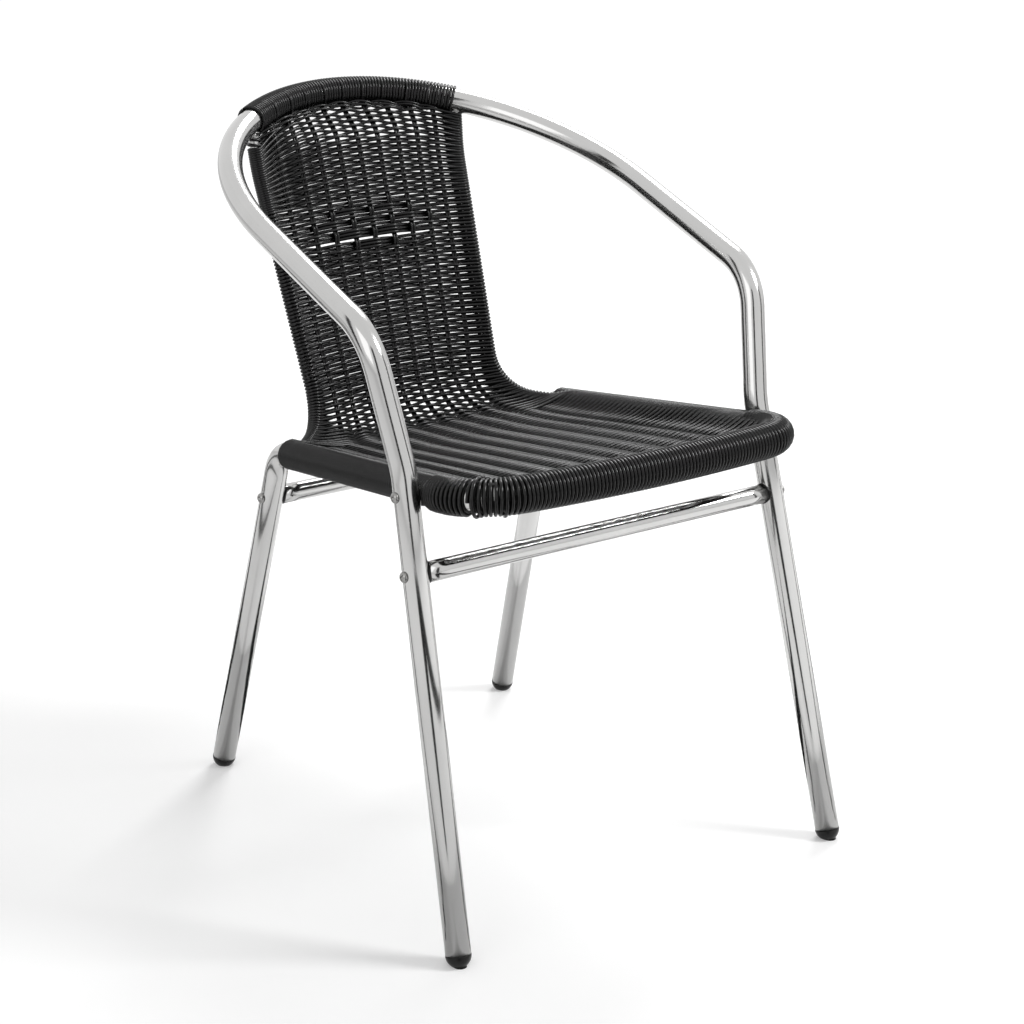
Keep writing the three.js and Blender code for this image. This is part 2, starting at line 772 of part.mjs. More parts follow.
// Least distance between one loop's leading corners and the next loop's trailing corners.
function leastGap(rings) {
  const half = rings[0].length / 2;
  let least = Infinity;
  for (let ring = 0; ring + loopSteps < rings.length; ring += 1) {
    least = Math.min(least, rings[ring][half - 1].distanceTo(rings[ring + loopSteps][0]));
    least = Math.min(least, rings[ring][half].distanceTo(rings[ring + loopSteps][2 * half - 1]));
  }
  return least;
}

function addWinding(name, track, start, end, loops, section) {
  const rings = windingRings(track, start, end, loops, section);
  console.log(`${name}: least gap to itself ${leastGap(rings).toFixed(2)} mm`);
  add(name, windingGeometry(rings), blackStrand);
}

function buildWindings() {
  const middle = hoopTrack.total / 2;
  const half = hoopWrapHalfLength;
  const hoopSection = { innerGap: loopInnerGap, outer: hoopWrapRadius, bends: false };
  const sideSection = { innerGap: straightInnerGap, outer: railWrapRadius, bends: false };
  const frontSection = { innerGap: loopInnerGap, outer: railWrapRadius, bends: true };
  addWinding("hoop_wrap", hoopTrack, middle - half, middle + half, hoopLoops, hoopSection);
  const legPlace = seatTrack.nearest(between(railRear, railFront, crossing.railShare));
  const rear = seatTrack.nearest(rodLanding) + rodPassage;
  const rearLeg = legPlace - tubeRadius - legPassage;
  const frontLeg = legPlace + tubeRadius + legPassage;
  const total = seatTrack.total;
  addWinding("side_wrap_right", seatTrack, rear, rearLeg, sideLoops, sideSection);
  addWinding("side_wrap_left", seatTrack, total - rearLeg, total - rear, sideLoops, sideSection);
  addWinding("front_wrap", seatTrack, frontLeg, total - frontLeg, frontLoops, frontSection);
}

buildFrames();
buildStretcher("front", frontStretcherEnd, frontFoot, kink);
buildStretcher("rear", rearStretcherEnd, rearFoot, railRear);
buildFasteners();
addBoth("front_foot_plug", plugSolid(frontFoot, kink), blackPlastic);
addBoth("rear_foot_plug", plugSolid(rearFoot, railRear), blackPlastic);
buildRods();
buildWeave();
buildWindings();

// Centre the chair over the origin, front to back.
const bounds = new THREE.Box3().setFromObject(chair);
chair.position.y = -(bounds.min.y + bounds.max.y) / 2;

export default chair;
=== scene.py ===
import bpy
import numpy as np
from mathutils import Matrix


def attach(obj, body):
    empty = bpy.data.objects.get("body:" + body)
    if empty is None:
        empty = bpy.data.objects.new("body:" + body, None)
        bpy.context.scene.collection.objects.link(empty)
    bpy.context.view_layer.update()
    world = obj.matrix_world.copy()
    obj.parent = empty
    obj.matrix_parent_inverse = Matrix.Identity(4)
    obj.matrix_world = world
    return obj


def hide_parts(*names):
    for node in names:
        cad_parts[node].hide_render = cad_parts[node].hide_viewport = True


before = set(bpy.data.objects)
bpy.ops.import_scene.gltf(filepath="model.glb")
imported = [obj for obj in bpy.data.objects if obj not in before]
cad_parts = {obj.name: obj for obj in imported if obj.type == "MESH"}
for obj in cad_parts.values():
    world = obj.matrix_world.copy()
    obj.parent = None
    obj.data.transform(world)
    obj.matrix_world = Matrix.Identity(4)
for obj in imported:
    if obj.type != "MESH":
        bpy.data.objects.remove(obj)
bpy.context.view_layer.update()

print("stage: frame loaded")


# Lines and places

lines = {
    "shiftY": -0.00048,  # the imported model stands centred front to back
    "tubeRadius": 0.0125,
    "frontFoot": (0.234, -0.290, 0),
    "kink": (0.214, -0.1735, 0.452),
    "kinkRadius": 0.130,
    "armX": 0.230,
    "armBendY": -0.142,
    "armBendHeight": 0.577,
    "armBendRadius": 0.065,
    "armRise": 19.3,
    "armStraight": 0.192,
    "arcDepth": 0.262,
    "rearFoot": (0.191, 0.242, 0),
    "railRear": (0.171945, 0.127, 0.390),
    "railRearRadius": 0.038,
    "railFront": (0.194245, -0.257, 0.441),
    "railFrontRadius": 0.052,
    "frontBow": 0.014,
    "crossing": (0.214945, -0.179005, 0.43064),  # where the front leg passes the side rail
    "bendSteps": 16,
    "arcSteps": 96,
    "bowSteps": 24,
    "plugHeight": 0.011,
}
acrossX = np.array((1.0, 0.0, 0.0))
skyward = np.array((0.0, 0.0, 1.0))
mirrorX = np.array((-1.0, 1.0, 1.0))
uvStep = 0.001  # metres of UV map from ring to ring on small turned pieces
rng = np.random.default_rng(seed=11)


def spot(x, y, z):
    return np.stack(np.broadcast_arrays(x, y + lines["shiftY"], z), axis=-1).astype(float)


def lerp(a, b, share):
    return a + (b - a) * share


def ramp(value, low, high):
    # eases from 0 at low to 1 at high: 3 s^2 - 2 s^3
    share = np.clip((value - low) / (high - low), 0, 1)
    return share * share * (3 - 2 * share)


def unit(vectors):
    return vectors / np.linalg.norm(vectors, axis=-1, keepdims=True)


def fillet(before, corner, after, radius, steps=lines["bendSteps"]):
    # arc in a corner: centre + radius * (spoke * cos turn + inward direction * sin turn)
    back = unit(before - corner)
    ahead = unit(after - corner)
    half = np.arccos(np.dot(back, ahead)) / 2
    centre = corner + unit(back + ahead) * radius / np.sin(half)
    spoke = unit(corner + back * radius / np.tan(half) - centre)
    turn = np.linspace(0, np.pi - 2 * half, steps + 1)[:, None]
    return centre + radius * (spoke * np.cos(turn) - back * np.sin(turn))


def runOf(line):
    # distance along a line of points, from its first point
    steps = np.linalg.norm(np.diff(line, axis=-2), axis=-1)
    start = np.zeros(steps.shape[:-1] + (1,))
    return np.concatenate([start, np.cumsum(steps, axis=-1)], axis=-1)


def along(line, distance):
    run = runOf(line)
    return np.stack([np.interp(distance, run, line[:, axis]) for axis in range(3)], axis=-1)


def armPlane(x, forward):
    rise = np.radians(lines["armRise"])
    y = lines["armBendY"] + forward * np.cos(rise)
    return spot(x, y, lines["armBendHeight"] + forward * np.sin(rise))


def hoopArc(turn):
    return armPlane(lines["armX"] * np.cos(turn), lines["armStraight"] + lines["arcDepth"] * np.sin(turn))


frontFoot = spot(*lines["frontFoot"])
kink = spot(*lines["kink"])
armBend = spot(lines["armX"], lines["armBendY"], lines["armBendHeight"])
rearFoot = spot(*lines["rearFoot"])
railRear = spot(*lines["railRear"])
railFront = spot(*lines["railFront"])
crossing = spot(*lines["crossing"])


def railPoint(y):
    # the side rail's straight line, at a distance front to back
    rear = lines["railRear"][1]
    return lerp(railRear, railFront, (y - rear) / (lines["railFront"][1] - rear))


def legEnd(foot, top):
    return foot + unit(top - foot) * lines["plugHeight"]


def bothSides(side, middle):
    return np.concatenate([side, middle, (side * mirrorX)[::-1]])


def hoopPath():
    side = [
        legEnd(frontFoot, kink)[None],
        fillet(frontFoot, kink, armBend, lines["kinkRadius"]),
        fillet(kink, armBend, armPlane(lines["armX"], lines["armStraight"]), lines["armBendRadius"]),
    ]
    turn = np.linspace(0, np.pi, lines["arcSteps"] + 1)
    return bothSides(np.concatenate(side), hoopArc(turn))


def frontRail(x):
    bow = lines["frontBow"] * (1 - (x / lines["railFront"][0]) ** 2)
    return spot(x, lines["railFront"][1] - bow, lines["railFront"][2])


def seatPath():
    bowEnd = lines["railFront"][0] - lines["railFrontRadius"]
    side = [
        legEnd(rearFoot, railRear)[None],
        fillet(rearFoot, railRear, railFront, lines["railRearRadius"]),
        fillet(railRear, railFront, frontRail(bowEnd), lines["railFrontRadius"]),
    ]
    bow = frontRail(bowEnd * np.linspace(1, -1, lines["bowSteps"] + 1)[1:-1])
    return bothSides(np.concatenate(side), bow)


hoopLine = hoopPath()
seatLine = seatPath()


# Meshes

def newObject(name, data):
    thing = bpy.data.objects.new(name, data)
    bpy.context.scene.collection.objects.link(thing)
    return thing


def buildMesh(name, points, faceSets, uvSets, shade=None):
    # vertices, faces and face corners go in as whole arrays
    mesh = bpy.data.meshes.new(name)
    mesh.vertices.add(len(points))
    mesh.vertices.foreach_set("co", points.ravel())
    sizes = np.concatenate([np.full(len(faces), faces.shape[1]) for faces in faceSets])
    corners = np.concatenate([faces.ravel() for faces in faceSets])
    mesh.loops.add(len(corners))
    mesh.loops.foreach_set("vertex_index", corners)
    mesh.polygons.add(len(sizes))
    mesh.polygons.foreach_set("loop_start", np.cumsum(sizes) - sizes)
    mesh.update(calc_edges=True)
    uvs = np.concatenate([uv.reshape(-1, 2) for uv in uvSets])
    mesh.uv_layers.new(name="run").data.foreach_set("uv", uvs.ravel())
    if shade is not None:
        mesh.attributes.new("shade", "FLOAT", "POINT").data.foreach_set("value", shade)
    mesh.polygons.foreach_set("use_smooth", np.ones(len(sizes), dtype=bool))
    mesh.validate()
    return newObject(name, mesh)


def ringMesh(name, rings, runs, shade=None):
    # rings[strand, step, side] are joined into closed tubes; run and turn become the UV map
    strands, steps, sides = rings.shape[:3]
    corner = np.arange(strands * steps * sides).reshape(strands, steps, sides)
    beside = np.roll(corner, -1, axis=2)
    quads = np.stack([corner[:, :-1], corner[:, 1:], beside[:, 1:], beside[:, :-1]], axis=-1)
    turn = np.broadcast_to(np.arange(sides) / sides, quads.shape[:3])
    later = turn + 1 / sides
    here = np.broadcast_to(runs[:, :-1, None], turn.shape)
    there = np.broadcast_to(runs[:, 1:, None], turn.shape)
    quadUv = np.stack([here, turn, there, turn, there, later, here, later], axis=-1)
    caps = np.concatenate([corner[:, 0], corner[:, -1, ::-1]])
    capUv = np.zeros(caps.shape + (2,))
    if shade is not None:
        shade = np.repeat(shade, steps * sides)
    return buildMesh(name, rings.reshape(-1, 3), [quads.reshape(-1, 4), caps], [quadUv, capUv], shade)


def spokes(ahead, guide, turn):
    # directions square to a line: side * cos turn + rise * sin turn
    side = unit(np.cross(ahead, guide))
    return side * np.cos(turn) + np.cross(side, ahead) * np.sin(turn)


def ringTurns(sides):
    return 2 * np.pi * np.arange(sides) / sides


def sweepRings(paths, radius, guide, sides):
    # a ring at each point of a path: point + radius * spoke
    ahead = unit(np.gradient(paths, axis=-2))
    spoke = spokes(ahead[..., None, :], guide[..., None, :], ringTurns(sides)[:, None])
    return paths[..., None, :] + np.asarray(radius)[..., None, None] * spoke


def strandPiece(name, paths, radius, guide, sides):
    rings = sweepRings(paths, radius, guide, sides)
    return ringMesh(name, rings, runOf(paths), rng.random(len(paths)))


def finish(piece, material, slot, *nodes):
    piece.data.materials.clear()
    piece.data.materials.append(material)
    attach(piece, "root")
    if nodes:
        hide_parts(*nodes)


def pairPieces(name, rings, runs, material, slot, node):
    # one piece to each side; the mirrored one's rings run the other way round, so that it faces outward too
    for side, label in ((1, "right"), (-1, "left")):
        placed = (rings * np.array((side, 1, 1)))[:, ::side]
        finish(ringMesh(f"{name}_{label}", placed[None], runs[None]), material, slot, f"{node}_{label}")


# Shader maths

class Wire:
    # wraps an output socket, so that sums of sockets add Math nodes

    def __init__(self, tree, socket):
        self.tree = tree
        self.socket = socket

    def math(self, operation, first, second):
        return addNode(self.tree, "ShaderNodeMath", {"operation": operation}, {0: first, 1: second})

    def __add__(self, other):
        return self.math("ADD", self, other)

    def __radd__(self, other):
        return self.math("ADD", other, self)

    def __sub__(self, other):
        return self.math("SUBTRACT", self, other)

    def __rsub__(self, other):
        return self.math("SUBTRACT", other, self)

    def __mul__(self, other):
        return self.math("MULTIPLY", self, other)

    def __rmul__(self, other):
        return self.math("MULTIPLY", other, self)


def addNode(tree, kind, settings=None, inputs=None, output=0):
    # makes a node, sets its settings, then its sockets from values or wires
    node = tree.nodes.new(kind)
    for key, value in (settings or {}).items():
        setattr(node, key, value)
    for key, value in (inputs or {}).items():
        if isinstance(value, Wire):
            tree.links.new(value.socket, node.inputs[key])
        else:
            node.inputs[key].default_value = value
    return Wire(tree, node.outputs[output])


def startMaterial(name, constants):
    material = bpy.data.materials.new(name)
    material.use_nodes = True
    tree = material.node_tree
    shader = tree.nodes["Principled BSDF"]
    for key, value in constants.items():
        shader.inputs[key].default_value = value
    return material, tree, shader


def feed(tree, shader, key, wire):
    tree.links.new(wire.socket, shader.inputs[key])


def grey(level, tint=(1, 1, 1)):
    return (level * tint[0], level * tint[1], level * tint[2], 1)


aluminiumLook = {
    "tint": (1.0, 0.995, 0.985),
    "levels": (0.50, 0.62),
    "roughness": 0.15,
    "spread": 0.06,
    "laneScale": (1.5, 9.0, 1),
    "cloudScale": 24.0,
}
steelLook = {
    "tint": (1.0, 0.99, 0.97),
    "levels": (0.25, 0.37),
    "roughness": 0.22,
    "spread": 0.10,
    "laneScale": (1.5, 5.0, 1),
    "cloudScale": 120.0,
}
metalGrain = {"scale": 900.0, "weight": 0.4, "strength": 0.10, "distance": 0.00004}
noiseDetail = {"lanes": 3.0, "cloud": 4.0, "mottle": 3.0, "grain": 2.0}
strandLook = {
    "tint": (1.0, 1.0, 1.0),
    "levels": (0.0015, 0.0045),
    "roughness": 0.23,
    "spread": 0.08,
    "gloss": 0.32,
    "laneScale": (60, 14, 1),
    "mottleScale": 320.0,
    "weights": (0.45, 0.35, 0.2),  # of a strand's own shade, its streaks and its mottle
    "strength": 0.2,
    "distance": 0.0001,
}
plasticLook = {
    "tint": (1.0, 1.0, 1.0),
    "levels": (0.002, 0.005),
    "roughness": 0.30,
    "spread": 0.12,
    "gloss": 0.25,
    "pitScale": 1400.0,
    "cloudScale": 90.0,
    "strength": 0.25,
    "distance": 0.0001,
}


def objectPlace(tree):
    return addNode(tree, "ShaderNodeTexCoord", output=3)


def noise(tree, vector, scale, detail):
    return addNode(tree, "ShaderNodeTexNoise", inputs={"Vector": vector, "Scale": scale, "Detail": detail})


def laneNoise(tree, scale):
    # lines that run along the piece, from its UV map
    run = addNode(tree, "ShaderNodeUVMap", {"uv_map": "run"})
    stretched = addNode(tree, "ShaderNodeMapping", inputs={"Vector": run, "Scale": scale})
    return noise(tree, stretched, 1.0, noiseDetail["lanes"])


def feedLook(tree, shader, look, tone, clouds):
    # the tone picks the grey, and each cloud swings the roughness both ways by half of its spread
    low, high = [grey(level, look["tint"]) for level in look["levels"]]
    colour = addNode(tree, "ShaderNodeMix", {"data_type": "RGBA"}, {0: tone, 6: low, 7: high}, 2)
    feed(tree, shader, "Base Color", colour)
    roughness = look["roughness"]
    for cloud in clouds:
        roughness = (cloud - 0.5) * look["spread"] + roughness
    feed(tree, shader, "Roughness", roughness)


def feedBump(tree, shader, strength, distance, height):
    sockets = {"Strength": strength, "Distance": distance, "Height": height}
    feed(tree, shader, "Normal", addNode(tree, "ShaderNodeBump", inputs=sockets))


def metalMaterial(name, look):
    # drawn lines run along the tube, clouds of wear come from the object's own place
    material, tree, shader = startMaterial(name, {"Metallic": 1.0})
    place = objectPlace(tree)
    drawn = laneNoise(tree, look["laneScale"])
    cloud = noise(tree, place, look["cloudScale"], noiseDetail["cloud"])
    fine = noise(tree, place, metalGrain["scale"], noiseDetail["grain"])
    feedLook(tree, shader, look, drawn * 0.5 + cloud * 0.5, [drawn, cloud])
    height = fine * metalGrain["weight"] + drawn
    feedBump(tree, shader, metalGrain["strength"], metalGrain["distance"], height)
    return material


def strandMaterial(name, look):
    # an extruded strand: fine lines along its length, a shade of its own, and a slightly mottled gloss
    material, tree, shader = startMaterial(name, {"Specular IOR Level": look["gloss"]})
    place = objectPlace(tree)
    shade = addNode(tree, "ShaderNodeAttribute", {"attribute_name": "shade"}, output=2)
    streak = laneNoise(tree, look["laneScale"])
    mottle = noise(tree, place, look["mottleScale"], noiseDetail["mottle"])
    own, lined, mottled = look["weights"]
    feedLook(tree, shader, look, shade * own + streak * lined + mottle * mottled, [streak, mottle])
    feedBump(tree, shader, look["strength"], look["distance"], streak + mottle * 0.5)
    return material


def plasticMaterial(name, look):
    # moulded plastic: fine pits and a soft cloudy gloss
    material, tree, shader = startMaterial(name, {"Specular IOR Level": look["gloss"]})
    place = objectPlace(tree)
    pits = noise(tree, place, look["pitScale"], noiseDetail["grain"])
    cloud = noise(tree, place, look["cloudScale"], noiseDetail["cloud"])
    feedLook(tree, shader, look, cloud, [cloud])
    feedBump(tree, shader, look["strength"], look["distance"], pits)
    return material


aluminium = metalMaterial("aluminiumTube", aluminiumLook)
steel = metalMaterial("screwSteel", steelLook)
strand = strandMaterial("wovenStrand", strandLook)
plastic = plasticMaterial("blackPlastic", plasticLook)
print("stage: materials made")


# Tubes of the frame

tubes = {"sides": 56, "barSides": 40, "hoopGuide": (0, -0.33, 0.944), "seatGuide": (0, 0.45, 0.9)}


def tubePiece(name, line, radius, guide, sides, *nodes):
    rings = sweepRings(line[None], radius, np.array(guide), sides)
    finish(ringMesh(name, rings, runOf(line)[None]), aluminium, "tube", *nodes)


tubePiece("armHoopTube", hoopLine, lines["tubeRadius"], tubes["hoopGuide"], tubes["sides"], "arm_hoop")
tubePiece("seatFrameTube", seatLine, lines["tubeRadius"], tubes["seatGuide"], tubes["sides"], "seat_frame")


stretchers = {
    "radius": 0.010,
    "frontHeight": 0.359,
    "rearHeight": 0.3375,
    "flange": 0.0021,
    "flangeOver": 0.0004,
    "flangeInside": 0.004,  # how far the band's inner rim reaches into the tube
    "rims": (0.82, 0.97),  # the band's inner rim and its bevel, as shares of its radius
    "bevels": (0.25, 0.8),  # where the band is full, as shares of the way to the leg
    "gap": 0.0003,
    "middle": 0.9,
    "middleRings": 13,
    "sides": 40,
}


def legFace(y, z, foot, top, radius):
    # x where a line along X meets the inner side of a round leg, from the distance to the leg's axis
    axis = unit(top - foot)
    start = np.stack(np.broadcast_arrays(np.zeros_like(y), y, z), axis=-1) - foot
    crossStart = np.cross(start, axis)
    crossX = np.cross(acrossX, axis)
    a = np.dot(crossX, crossX)
    b = 2 * np.sum(crossStart * crossX, axis=-1)
    c = np.sum(crossStart * crossStart, axis=-1) - radius ** 2
    return (-b - np.sqrt(b * b - 4 * a * c)) / (2 * a)


def coped(centre, radius, foot, top, legRadius):
    # a ring about a line along X, and the x at which each of its points meets the round leg
    turn = ringTurns(stretchers["sides"])
    y = centre[1] + radius * np.cos(turn)
    z = centre[2] + radius * np.sin(turn)
    return y, z, legFace(y, z, foot, top, legRadius)


def onLeg(foot, top, height):
    return foot + (top - foot) * height / top[2]


def buildStretcher(name, height, foot, top):
    centre = onLeg(foot, top, height)
    reach = lines["tubeRadius"] + stretchers["flange"]
    y, z, outer = coped(centre, stretchers["radius"], foot, top, reach + stretchers["gap"])
    middle = stretchers["middle"]
    shares = np.concatenate([[-1.0], np.linspace(-middle, middle, stretchers["middleRings"]), [1.0]])
    rings = np.stack([np.stack([share * outer, y, z], axis=-1) for share in shares])[None]
    run = (shares * outer.min())[None]
    tube = ringMesh(name + "StretcherTube", rings[:, :, ::-1], run)
    finish(tube, aluminium, "tube", name + "_stretcher")
    edge = stretchers["radius"] + stretchers["flangeOver"]
    y, z, legSide = coped(centre, edge, foot, top, lines["tubeRadius"] + stretchers["gap"])
    tubeSide = legFace(y, z, foot, top, reach)
    full = np.stack([y, z], axis=-1)
    inner, bevel = [lerp(centre[[1, 2]], full, share) for share in stretchers["rims"]]
    first, last = [lerp(tubeSide, legSide, share) for share in stretchers["bevels"]]
    profile = [
        (tubeSide - stretchers["flangeInside"], inner),
        (tubeSide, inner),
        (tubeSide, bevel),
        (first, full),
        (last, full),
        (legSide, bevel),
        (legSide, inner),
    ]
    band = np.stack([np.concatenate([x[:, None], yz], axis=-1) for x, yz in profile])
    runs = np.arange(len(profile)) * uvStep
    pairPieces(name + "InsertBand", band[:, ::-1], runs, plastic, "plastic", name + "_insert")


buildStretcher("front", stretchers["frontHeight"], frontFoot, kink)
buildStretcher("rear", stretchers["rearHeight"], rearFoot, railRear)
print("stage: tubes made")


# Foot plugs and screws

plugs = {
    "profile": (  # distance up the leg, radius
        (-0.006, 0.0),
        (-0.006, 0.0066),
        (-0.001, 0.0068),
        (0.0, 0.0074),
        (0.0014, 0.0089),
        (0.0030, 0.0102),
        (0.0048, 0.0113),
        (0.0068, 0.0121),
        (0.0086, 0.0125),
        (0.0102, 0.0127),
        (0.0107, 0.0126),
        (0.0107, 0.0108),
        (0.0190, 0.0106),
        (0.0190, 0.0),
    ),
    "guide": (0.3, 0, 1),  # the first point of each ring lies square to it
    "sides": 48,
}
leastRadius = 0.00002  # of a turned piece's end, in place of a point


def buildPlug(name, foot, top):
    # turned about the leg, and cut off flat at the floor: foot + axis * height + radius * spoke
    height, radius = np.array(plugs["profile"]).T[:, :, None, None]
    axis = unit(top - foot)
    spoke = spokes(axis, plugs["guide"], ringTurns(plugs["sides"])[:, None])
    rings = foot + axis * height + np.maximum(radius, leastRadius) * spoke
    rings[..., 2] = np.maximum(rings[..., 2], 0)
    pairPieces(name + "FootPlugBody", rings, height[:, 0, 0], plastic, "plastic", name + "_foot_plug")


buildPlug("front", frontFoot, kink)
buildPlug("rear", rearFoot, railRear)


screws = {
    "profile": (  # distance out, radius, share of a hexagon in the outline
        (-0.0060, 0.0, 0),
        (-0.0060, 0.0030, 0),
        (0.0, 0.0030, 0),
        (0.0, 0.0052, 0),
        (0.0003, 0.0055, 0),
        (0.0012, 0.0054, 0),
        (0.0022, 0.0050, 0),
        (0.0031, 0.0042, 0),
        (0.0037, 0.0033, 0),
        (0.0040, 0.0026, 0),
        (0.0040, 0.0023, 0.6),
        (0.0038, 0.0020, 1),
        (0.0006, 0.0020, 1),
        (0.0004, 0.0010, 1),
        (0.0002, 0.0, 0),
    ),
    "gap": -0.0005,  # the head has drawn the tube's wall in a little
    "sides": 48,
}


def buildScrew(name, centre):
    # turned about X; the socket's outline swells to a hexagon: flat / cos of the angle to the flat's middle
    distance, radius, hexShare = np.array(screws["profile"]).T[:, :, None]
    turn = ringTurns(screws["sides"])
    hexagon = 1 / np.cos((turn % (np.pi / 3)) - np.pi / 6)
    radius = np.maximum(radius, leastRadius) * lerp(1, hexagon, hexShare)
    headX = centre[0] + lines["tubeRadius"] + screws["gap"]
    x = np.broadcast_to(headX + distance, radius.shape)
    rings = np.stack([x, centre[1] + radius * np.cos(turn), centre[2] + radius * np.sin(turn)], axis=-1)
    runs = np.arange(1, len(x) + 1) * uvStep
    pairPieces(name + "ScrewHead", rings[:, ::-1], runs, steel, "screw", name + "_screw")


buildScrew("seat", crossing)
buildScrew("front", onLeg(frontFoot, kink, stretchers["frontHeight"]))
buildScrew("rear", onLeg(rearFoot, railRear, stretchers["rearHeight"]))
for label in ("right", "left"):
    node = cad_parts["seat_nut_" + label]
    for place in node.material_slots:
        place.material = steel
print("stage: plugs and screws made")


# Back rods with their welds

rods = {
    "radius": 0.005,
    "topX": 0.128,
    "upper": (0.125, 0.236, 0.660),
    "upperRadius": 0.150,
    "lower": (0.1115, 0.143, 0.405),
    "lowerRadius": 0.060,
    "landingY": 0.082,
    "weldReach": 0.0072,
    "weldSwell": 0.0030,
    "weldRipple": 0.0005,
    "weldRipples": 4,
    "weldPower": 0.7,
    "sunk": 0.0005,  # how far the ends reach into the tubes' walls
    "steps": 60,
    "weldSteps": 29,
}


def rodPath():
    top = hoopArc(np.arccos(rods["topX"] / lines["armX"]))
    upper = spot(*rods["upper"])
    lower = spot(*rods["lower"])
    landing = railPoint(rods["landingY"])
    upperBend = fillet(top, upper, lower, rods["upperRadius"])
    lowerBend = fillet(upper, lower, landing, rods["lowerRadius"])
    return np.concatenate([top[None], upperBend, lowerBend, landing[None]])


rodLine = rodPath()
rodLength = runOf(rodLine)[-1]


def buildRods():
    # the weld swells the rod by swell * left ^ power + ripple * sin(turns) * left, where left falls to 0
    inside = lines["tubeRadius"] - rods["sunk"]
    run = np.linspace(inside, rodLength - inside, rods["steps"])
    share = np.linspace(0, 1, rods["weldSteps"])
    left = 1 - share
    ripple = rods["weldRipple"] * np.sin(2 * np.pi * rods["weldRipples"] * share)
    weldRadius = rods["radius"] + rods["weldSwell"] * left ** rods["weldPower"] + ripple * left
    weldPath = along(rodLine, inside + rods["weldReach"] * share)
    sides = tubes["barSides"]
    for mirror, label in ((1, "right"), (mirrorX, "left")):
        rod = along(rodLine, run) * mirror
        tubePiece(f"backRod_{label}", rod, rods["radius"], acrossX, sides, f"back_rod_{label}")
        tubePiece(f"backRodWeld_{label}", weldPath * mirror, weldRadius, acrossX, sides)


buildRods()


# Woven sheet: every row runs over a middle line from one edge line to the other, and bows between them

weave = {
    "middleLean": 0.0455,  # how far the middle stands before the hoop's own middle, and below it
    "middleDrop": 0.039,
    "rowLead": 0.031,  # how far down the middle line the uppermost row crosses it
    "heel": (0, 0.147, 0.385),
    "heelRadius": 0.060,
    "upperRadius": 0.040,
    "highestRow": -0.08,
    "dish": 0.003,
    "dishRows": (0.95, 1.2),
    "frontMargin": 0.008,
    "strandRadius": 0.00174,
    "rowRadii": (0.00174, 0.00174, 0.00190, 0.00186, 0.00168, 0.00165),  # at the strands of rowKnots
    "stakeRadius": 0.00150,
    "stakeOffset": 0.00155,
    "depth": 0.00315,
    "slips": (0.00030, 0.00004),  # how far a strand moves up in front of a stake, or down behind it
    "slipRows": (4, 24),  # the first strands lie looser than the rest
    "unevenness": 0.00016,
    "backRows": 107,
    "seatRows": 90,
    "rowKnots": (0, 28, 43, 87, 107, 197),  # strands counted down from the top
    "rowPlaces": (-0.008, 0.2407, 0.382, 0.802, 1.0, 2.0),  # rows where those strands cross the middle
    "rowPitches": (0.0036, 0.0037, 0.00375, 0.00395, 0.00372, 0.00372),
    "fans": (0.0765, 0.0415),  # how much lower the topmost strand meets the left rod, and the right one
    "fanPower": 2.6,
    "bendsPerBay": 6,
    "sides": 8,
    "backShares": (0, 0.2, 0.4, 0.6, 0.8, 0.9),
    "seatShares": (0, 0.165, 0.33, 0.5, 0.645, 0.77),
    "spread": (0.6, 1.1),
    "touch": 15,  # degrees short of the edge's crest where a strand meets it
    "leadSteps": 6,
    "arcSteps": 12,
    "bandStart": 28,
    "bandGroup": 3,
    "bandReaches": (1, 2, 3, 2, 1),  # stakes to each side of the middle one, for each group
    "bandRadius": 0.00186,
    "barLift": 0.0020,  # a stake bows forward where a group passes behind it
    "slit": 0.0016,
    "slitGroup": 4,
    "slitFade": 9,
    "slitStakes": ((-3.6, -2.9), (2.2, 3.0)),
    "ringRows": (0.93, 1.0),  # where the strands pass from the thin rods to the thicker side rails
    "legReach": 0.0078,
    "frontReach": 0.0165,
    "shortTurn": 48,  # degrees round the rail, where the leg or the front winding is in the way
    "tailTurn": 12,
    "tailReach": 0.86,
    "backStakes": 4,  # to each side of the middle one
    "seatStakes": 5,
    "stakeRows": (-0.074, 1.985),
    "outerStakeRow": 0.93,
    "stakeSteps": 340,
}
rowStep = 0.002
rowSpan = 0.008  # a longer step, over which the sheet's slope is taken
sheetLength = 0.40  # metres of sheet to one unit of row, near enough on back and seat


def middlePath():
    # from the hoop down to the heel and on, until it is level with the rods' lower ends
    top = armPlane(0, lines["armStraight"] + lines["arcDepth"])
    upper = top - np.array((0, weave["middleLean"], weave["middleDrop"]))
    heel = spot(*weave["heel"])
    rise = railFront[2] - railPoint(weave["heel"][1])[2]
    front = spot(0, lines["railFront"][1], heel[2] + rise)
    bend = fillet(upper, heel, front, weave["heelRadius"])
    level = lerp(heel, front, (rodLine[-1][1] - heel[1]) / (front[1] - heel[1]))
    upperBend = fillet(top, upper, heel, weave["upperRadius"])
    return np.concatenate([top[None], upperBend, bend, level[None]]), front


middleLine, middleFront = middlePath()
middleLength = runOf(middleLine)[-1]
frontEdge = railFront + np.array((0, weave["frontMargin"], 0))


def sheetEdge(row):
    back = along(rodLine, np.clip(row, 0, 1) * rodLength)
    seat = lerp(rodLine[-1], frontEdge, np.clip(row - 1, 0, 2)[..., None])
    return np.where((row < 1)[..., None], back, seat)


def sheetMiddle(row):
    lead = weave["rowLead"]
    back = along(middleLine, lead + np.clip(row, weave["highestRow"], 1) * (middleLength - lead))
    seat = lerp(middleLine[-1], middleFront, np.clip(row - 1, 0, 2)[..., None])
    return np.where((row < 1)[..., None], back, seat)


